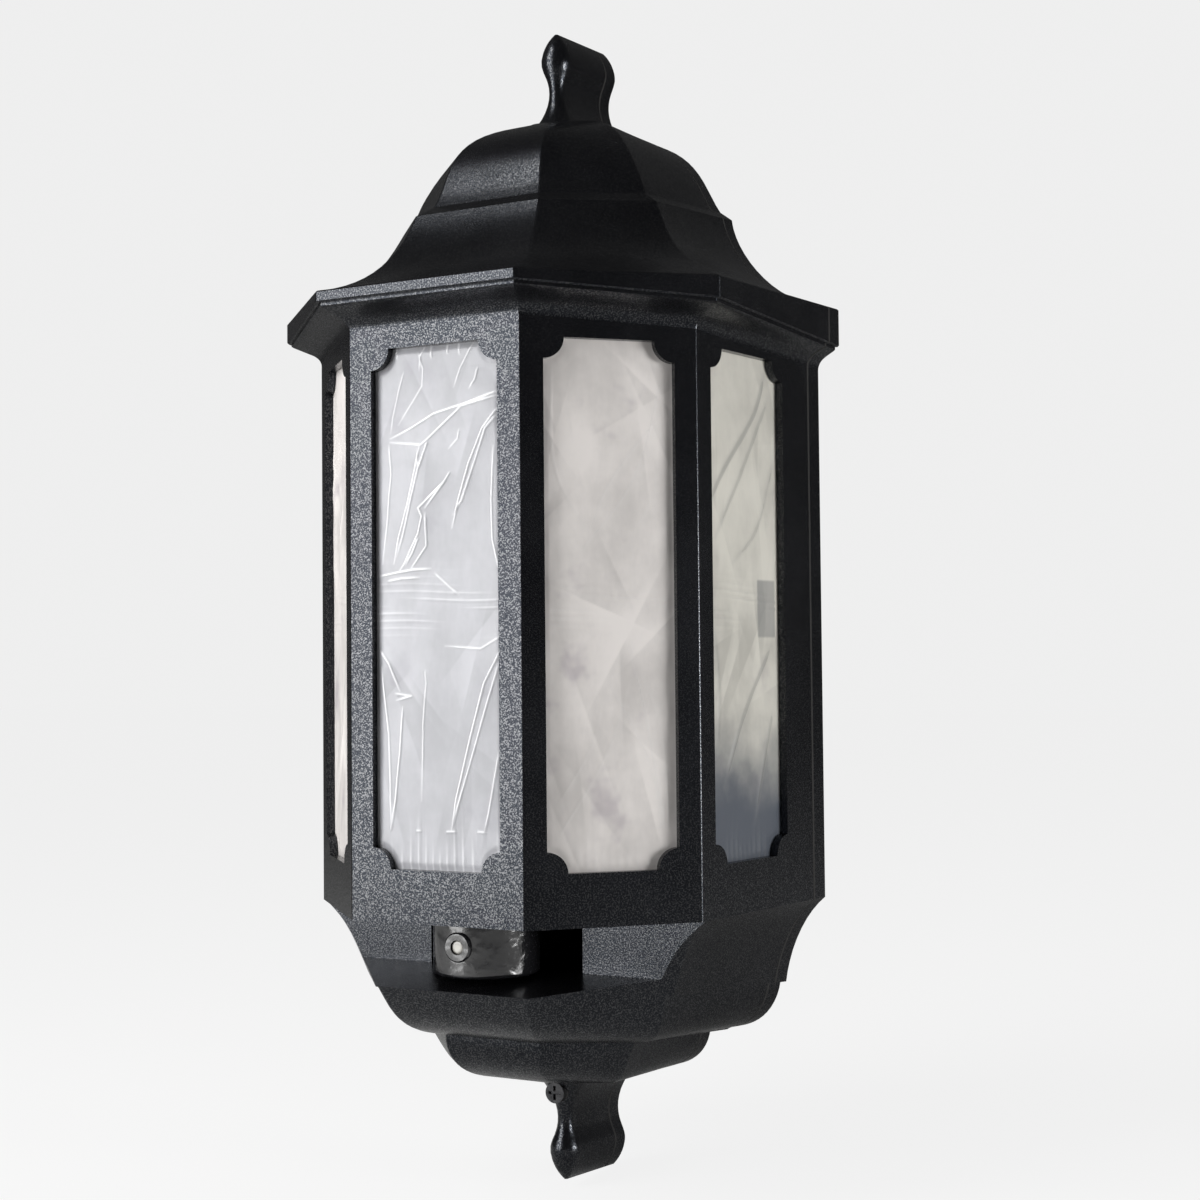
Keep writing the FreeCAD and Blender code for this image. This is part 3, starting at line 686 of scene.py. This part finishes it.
def nearest(path, x, z):
    """Return each grid point's distance from a path, and how far along it that is, 0 to 1."""
    best = np.full(x.shape, np.inf)
    along = np.zeros(x.shape)
    last = len(path) - 1
    for i, (a, b) in enumerate(zip(path, path[1:])):
        run = b - a
        part = ((x - a[0]) * run[0] + (z - a[1]) * run[1]) / max(run @ run, 1e-12)
        share = np.clip(part, 0, 1)
        gap = np.hypot(x - a[0] - share * run[0], z - a[1] - share * run[1])
        closer = gap < best
        best = np.where(closer, gap, best)
        along = np.where(closer, (i + share) / last, along)
    return best, along


def inside_window(x, z, width):
    """Return how far each point is inside the window's scalloped edge."""
    across = width / 2 - np.abs(x)
    up = np.minimum(z, WINDOW_HEIGHT - z)
    corner = np.hypot(across, up) - SCALLOP
    return np.minimum(np.minimum(across, up), corner)


def loose_creases(draw):
    """Return random creases that fan out from the corners towards the gathered middle."""
    creases = []
    for _ in range(LOOSE_CREASES):
        upper = draw.random() < 0.5
        side = draw.choice([0.0, 1.0])
        corner_span, middle_span = UPPER_SPANS if upper else LOWER_SPANS
        start = (abs(side - draw.uniform(0, 0.12)), draw.uniform(*corner_span))
        end = (draw.uniform(0.15, 0.85), draw.uniform(*middle_span))
        middle = (
            (start[0] + end[0]) / 2 + draw.uniform(-0.14, 0.14),
            (start[1] + end[1]) / 2 + draw.uniform(-0.04, 0.04),
        )
        creases.append(([start, middle, end], draw.uniform(0.15, 0.5)))
    return creases


def painted_facets(draw, x, z):
    """Return the painted light and shade of crumpled film's facets: soft patches, each with one
    sharp edge that fades out to a side.
    """
    tone = np.zeros(x.shape)
    for _ in range(PAINTED_FACETS):
        angle = draw.normal(0, 0.55) + draw.choice([0, math.pi])
        from_x = x - draw.uniform(x.min(), x.max())
        from_z = z - draw.uniform(0, WINDOW_HEIGHT)
        across = from_x * math.cos(angle) + from_z * math.sin(angle)
        along = from_z * math.cos(angle) - from_x * math.sin(angle)
        fade = draw.uniform(2, 7) * MM
        strength = draw.uniform(-0.8, 1.0)
        length = draw.uniform(6, 20) * MM
        edge = smooth(across, -0.35 * MM, 0.35 * MM) * np.exp(-np.maximum(across, 0) / fade)
        tone += strength * edge * np.exp(-(along / length) ** 2)
    return tone


def wave(draw, value, length):
    """Return a wave of a length that starts at a random place."""
    return np.sin(value / length + draw.uniform(0, 6))


def crumple(draw, x, z):
    """Return the height of wide, random, kinked folds."""
    height = np.zeros(x.shape)
    for _ in range(CRUMPLES):
        angle = draw.uniform(0, math.pi)
        length = draw.uniform(9, 24) * MM
        bend = draw.uniform(0.5, 1.2) * wave(draw, x, 13 * MM) * wave(draw, z, 17 * MM)
        run = (x * math.cos(angle) + z * math.sin(angle)) / length
        turn = run + 0.35 * bend + draw.uniform(0, 1)
        weight = smooth(wave(draw, x, 19 * MM) + wave(draw, z, 23 * MM), -0.6, 1.2)
        height += CRUMPLE_RISE * weight * np.abs(2 * (turn - np.floor(turn)) - 1)
    return height


def gathers(x, z):
    """Return the height and the crease lines of the middle's ripples and the hem's pleats."""
    belt = np.exp(-((z / WINDOW_HEIGHT - 0.5) / 0.045) ** 2)
    belt = belt * smooth(np.sin(x / (9 * MM) + 3 * np.sin(z / (4 * MM))), -0.7, 0.7)
    sway = 1.3 * np.sin(x / (16 * MM)) + 0.8 * np.sin(x / (7 * MM))
    ripple = np.sin(2 * math.pi * z / (2.1 * MM) + sway)
    hem = np.exp(-(z / (8 * MM * (0.45 + 0.75 * np.sin(x / (4.4 * MM)) ** 2))) ** 2)
    crowding = 2.2 * np.sin(x / (5 * MM)) + 1.9 * np.sin(x / (8.3 * MM) + 1)
    pleat = np.sin(2 * math.pi * x / (2.9 * MM) + crowding)
    height = BELT_RISE * belt * (1 + ripple) + HEM_RISE * hem * (1 + pleat)
    crease = 0.30 * belt * smooth(ripple, 0.55, 1.0) + 0.35 * hem * smooth(pleat, 0.6, 1.0)
    return height, crease


def film_mesh(pane, settings, cell):
    """Return a creased film pane as a mesh in the row frame."""
    draw = np.random.default_rng(pane.seed)
    half = pane.width / 2 + settings.margin
    columns = int(2 * half / cell)
    rows = int((WINDOW_HEIGHT + 2 * settings.margin) / cell)
    x, z = np.meshgrid(
        np.linspace(-half, half, columns + 1),
        np.linspace(-settings.margin, WINDOW_HEIGHT + settings.margin, rows + 1),
    )
    gathered, crease = gathers(x, z)
    height = crumple(draw, x, z) + gathered
    lines = pane.creases or loose_creases(np.random.default_rng(pane.seed + CREASE_SEED))
    for line, strength in lines:
        path = np.array([((u - 0.5) * pane.width, v * WINDOW_HEIGHT) for u, v in line])
        gap, reach = nearest(rounded_path(path, 1.2 * MM) if pane.rounded else path, x, z)
        taper = smooth(reach, -0.05, 0.12) * (1 - 0.8 * smooth(reach, 0.75, 1.05)) * strength
        fold = np.exp(-(gap / pane.fold_width) ** 2) * taper
        height += FOLD_RISE * fold + FOLD_SWELL * taper * np.exp(-gap / FOLD_SWELL_REACH)
        crease = np.maximum(crease, fold)
    shown = smooth(inside_window(x, z, pane.width), 0.1 * MM, 2.2 * MM)
    height = settings.lift + np.minimum(height, HIGHEST_FOLD) * shown
    along = (pane.end - pane.start).normalized()
    outward = Vector((along.y, -along.x, 0))
    corner = pane.start - outward * FILM_INSET
    points = [
        corner + along * (pane.middle + a) + outward * h + Vector((0, 0, SILL + b))
        for a, b, h in zip(x.ravel(), z.ravel(), height.ravel())
    ]
    wide = columns + 1
    faces = [
        (r * wide + c, r * wide + c + 1, (r + 1) * wide + c + 1, (r + 1) * wide + c)
        for r in range(rows) for c in range(columns)
    ]
    mesh = bpy.data.meshes.new(pane.name)
    mesh.from_pydata(points, [], faces)
    # The crease attribute marks the fold lines that the finish paints with highlights or shade
    # and makes glossier; the other attribute carries the facets' painted light and shade.
    for key, values in (("crease", crease), ("facet_shade", painted_facets(draw, x, z))):
        layer = mesh.attributes.new(key, "FLOAT", "POINT")
        layer.data.foreach_set("value", values.ravel().astype(np.float32))
    mesh.polygons.foreach_set("use_smooth", [True] * len(faces))
    mesh.materials.append(pane.material)
    return mesh


def film_finish(name, tint, painted_fold, contrast, shade_blots, gloss, shade=None):
    """Return the glossy film over the milky sheet, with its fold lines painted paler as
    highlights or darker as shade, as each pane asks.
    """
    finish = Finish(name)
    place = finish.place()
    crease = finish.attribute("crease")
    facet_shade = finish.attribute("facet_shade")
    cloud = finish.noise(place, 24 * MM, 4.0, 0.6)
    streak = finish.noise(finish.stretched(place, (1.0, 1.0, 0.35)), 9 * MM, 4.0, 0.65)
    # The tone is random cloud and streaks, plus the facets' painted light and shade.
    tone = (cloud - 0.5) * 0.6 + (streak - 0.5) * 0.3 + facet_shade * 0.26
    dark, pale = scaled(tint, DARK_SHARES), scaled(tint, PALE_SHARES)
    sheet = finish.blend(finish.steps(tone, -0.22, 0.22), dark, pale)
    # Soft darker patches: painted shade of the parts behind the sheet.
    shade_blot = finish.steps(finish.noise(place, 16 * MM, 3.0, 0.6), 0.56, 0.74) * shade_blots
    sheet = finish.blend(shade_blot, sheet, scaled(tint, SHADE_BLOT_SHARES))
    if shade:
        height = finish.axis(place, "Z")
        # A painted shadow of the diffuser's lug, as if seen through the side pane.
        lug_shadow = finish.band(finish.axis(place, "Y"), *LUG_SHADOW_DEPTH, LUG_SHADOW_EDGE)
        lug_shadow = lug_shadow * finish.band(height, *LUG_SHADOW_HEIGHT, LUG_SHADOW_EDGE)
        sheet = finish.blend(lug_shadow * (0.3 + cloud * 0.35), sheet, shade)
        # Painted shade low down in the side panes, of the dark parts behind the sheet.
        level = height + (cloud - 0.5) * 0.03 + facet_shade * 0.004
        sheet = finish.blend(1 - finish.steps(level, *SHADE_LEVELS), sheet, shade)
    finish.surface(
        # Fold lines painted with the pane's highlight or shade colour.
        Base_Color=finish.blend(crease * contrast, sheet, painted_fold),
        Roughness=0.34 + (streak - 0.5) * 0.15 - crease * 0.16,
        Specular_IOR_Level=0.5,
        Coat_Weight=crease * gloss,
        Coat_Roughness=0.12,
    )
    return finish.material


class LANTERN_OT_film(Operator):
    """Lay the creased clear film over the five panes"""

    bl_idname = "lantern.film"
    bl_label = "Window film"

    def execute(self, context):
        settings = context.scene.lantern_glazing
        # Each pane's colour carries painted light and shade.
        front = film_finish(
            "film_front", settings.front, FOLD_HIGHLIGHT, contrast=0.95, shade_blots=0.22, gloss=0.8)
        diagonal = film_finish(
            "film_diagonal", settings.diagonal, FOLD_SOFT_HIGHLIGHT, contrast=0.4, shade_blots=0.45, gloss=0.8)
        side = film_finish(
            "film_side", settings.side, FOLD_SHADE, contrast=0.55, shade_blots=0.3, gloss=0.3,
            shade=settings.shade)
        nose = Vector((PLAN_FRONT / 2, -PLAN_DEPTH, 0))
        knee = Vector((PLAN_FRONT / 2 + PLAN_RUN, PLAN_RUN - PLAN_DEPTH, 0))
        rear = Vector((PLAN_WALL / 2, 0, 0))
        front_pane = Pane(
            "film_front", Vector((-nose.x, nose.y, 0)), nose, PLAN_FRONT / 2, FRONT_WINDOW,
            front, 11, FRONT_CREASES, FOLD_WIDTH, rounded=False)
        right_panes = [
            Pane(
                "film_right_diagonal", nose, knee, (knee - nose).length / 2, DIAGONAL_WINDOW,
                diagonal, 12, [], FOLD_WIDTH, rounded=True),
            Pane(
                "film_right_side", knee, rear, SIDE_WINDOW_MIDDLE, SIDE_WINDOW,
                side, 13, SIDE_CREASES, SIDE_FOLD_WIDTH, rounded=True),
        ]
        for pane in [front_pane, *right_panes, *map(mirrored, right_panes)]:
            cell = settings.cell if pane is front_pane else settings.cell * COARSE
            film = bpy.data.objects.new(pane.name, film_mesh(pane, settings, cell))
            context.scene.collection.objects.link(film)
            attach(film, "cover")
        return {"FINISHED"}


class Stand(NamedTuple):
    """The size of a lamp's panel, and where it stands round the object, in metres and degrees."""

    width: float
    height: float
    azimuth: float
    level: float
    distance: float


KEY_STAND = Stand(width=0.42, height=1.4, azimuth=-31.0, level=0.525, distance=0.68)
FILL_STAND = Stand(width=0.5, height=0.3, azimuth=98.0, level=-0.02, distance=1.3)
# The stands' distances are measured from here, about the middle of the lantern.
STANDS_MIDDLE_Y = -0.06
FLOOR_REACH = 6.0
FLOOR_GAP = 0.2 * MM
FLOOR_SHARES = (0.985, 0.985, 0.985)
# Brightness of the lit floor far behind the object.
FAR_FLOOR = 0.06
WHITE = (1.0, 1.0, 1.0)
FRAME_WIDTH = 36.0


class LANTERN_OT_stage(Operator):
    """Set the floor, the lamps and the camera"""

    bl_idname = "lantern.stage"
    bl_label = "Stage"

    def execute(self, context):
        scene = context.scene
        settings = scene.lantern_stage
        self.floor(scene, settings)
        self.world(scene, settings)
        self.lamp(scene, "key", settings.key, KEY_STAND)
        self.lamp(scene, "fill", settings.fill, FILL_STAND)
        self.camera(scene, settings)
        scene.view_settings.view_transform = "Standard"
        return {"FINISHED"}

    def floor(self, scene, settings):
        """Lay a pale floor that the camera sees at nearly the backdrop's brightness."""
        level = CAD_BOX[0][2] - FLOOR_GAP
        signs = [(-1, -1), (1, -1), (1, 1), (-1, 1)]
        corners = [(x * FLOOR_REACH, y * FLOOR_REACH, level) for x, y in signs]
        mesh = bpy.data.meshes.new("floor")
        mesh.from_pydata(corners, [], [(0, 1, 2, 3)])
        floor = bpy.data.objects.new("floor", mesh)
        scene.collection.objects.link(floor)
        finish = Finish("pale_floor")
        cloud = finish.noise(finish.place(), 400 * MM, 3.0)
        pale = finish.blend(cloud, settings.floor, scaled(settings.floor, FLOOR_SHARES))
        lit = finish.node("ShaderNodeBsdfDiffuse", inputs={"Color": pale})
        lit_share = 1 - settings.evenness
        strength = (settings.backdrop - lit_share * FAR_FLOOR) / settings.evenness
        glow = finish.node("ShaderNodeEmission", inputs={"Strength": strength})
        seen = finish.camera_ray() * settings.evenness
        finish.close(finish.node("ShaderNodeMixShader", inputs={0: seen, 1: lit, 2: glow}))
        mesh.materials.append(finish.material)

    def world(self, scene, settings):
        """Set the light from all round, and the backdrop that the camera sees instead."""
        world = bpy.data.worlds.new("studio")
        world.use_nodes = True
        scene.world = world
        studio = Shading(world.node_tree)
        strength = settings.ambient + studio.camera_ray() * (settings.backdrop - settings.ambient)
        inputs = {"Color": rgba(WHITE), "Strength": strength}
        light = studio.node("ShaderNodeBackground", inputs=inputs)
        studio.node("ShaderNodeOutputWorld", inputs={"Surface": light})

    def lamp(self, scene, name, power, stand):
        """Stand a lamp upright, turned towards the object."""
        data = bpy.data.lights.new(name, "AREA")
        data.shape = "RECTANGLE"
        data.size, data.size_y = stand.width, stand.height
        data.energy = power
        turn = math.radians(stand.azimuth)
        towards = Vector((math.sin(turn), -math.cos(turn), 0))
        lamp = bpy.data.objects.new(name, data)
        lamp.location = Vector((0, STANDS_MIDDLE_Y, stand.level)) + towards * stand.distance
        lamp.rotation_euler = towards.to_track_quat("Z", "Y").to_euler()
        scene.collection.objects.link(lamp)

    def camera(self, scene, settings):
        """Set the camera from its place and its three angles."""
        data = bpy.data.cameras.new("camera")
        data.sensor_fit = "HORIZONTAL"
        data.sensor_width = FRAME_WIDTH
        data.lens = settings.lens
        data.clip_start = 10 * MM
        turn, rise, roll = settings.azimuth, settings.elevation, settings.roll
        flat = math.cos(rise)
        ahead = Vector((-math.sin(turn) * flat, math.cos(turn) * flat, -math.sin(rise)))
        level = Vector((math.cos(turn), math.sin(turn), 0))
        upright = level.cross(ahead)
        right = level * math.cos(roll) + upright * math.sin(roll)
        up = right.cross(ahead)
        turned = Matrix((right, up, -ahead)).transposed()
        camera = bpy.data.objects.new("camera", data)
        camera.matrix_world = Matrix.Translation(Vector(settings.camera)) @ turned.to_4x4()
        scene.collection.objects.link(camera)
        scene.camera = camera


OPERATORS = (
    LANTERN_OT_moulding,
    LANTERN_OT_seals,
    LANTERN_OT_metalwork,
    LANTERN_OT_lamp_unit,
    LANTERN_OT_sensor,
    LANTERN_OT_diffuser,
    LANTERN_OT_film,
    LANTERN_OT_stage,
)

GROUPS = {
    "lantern_moulding": MouldingSettings,
    "lantern_glazing": GlazingSettings,
    "lantern_stage": StageSettings,
}


class LANTERN_PT_panel(Panel):
    """List the lantern's pieces and their settings"""

    bl_idname = "LANTERN_PT_panel"
    bl_label = "Lantern"
    bl_space_type = "VIEW_3D"
    bl_region_type = "UI"
    bl_category = "Lantern"

    def draw(self, context):
        for operator in OPERATORS:
            self.layout.operator(operator.bl_idname)
        for name, group in GROUPS.items():
            box = self.layout.box()
            for setting in group.__annotations__:
                box.prop(getattr(context.scene, name), setting)


CLASSES = (*GROUPS.values(), *OPERATORS, LANTERN_PT_panel)


def register():
    """Add the classes and the scene's settings."""
    for made in CLASSES:
        bpy.utils.register_class(made)
    for name, group in GROUPS.items():
        setattr(bpy.types.Scene, name, PointerProperty(type=group))


def unregister():
    """Take the settings and the classes away."""
    for name in GROUPS:
        delattr(bpy.types.Scene, name)
    for made in reversed(CLASSES):
        bpy.utils.unregister_class(made)


def main():
    """Dress the lantern."""
    register()
    bpy.ops.lantern.moulding()
    bpy.ops.lantern.seals()
    bpy.ops.lantern.metalwork()
    bpy.ops.lantern.lamp_unit()
    bpy.ops.lantern.sensor()
    bpy.ops.lantern.diffuser()
    bpy.ops.lantern.film()
    bpy.ops.lantern.stage()


if __name__ == "__main__":
    main()
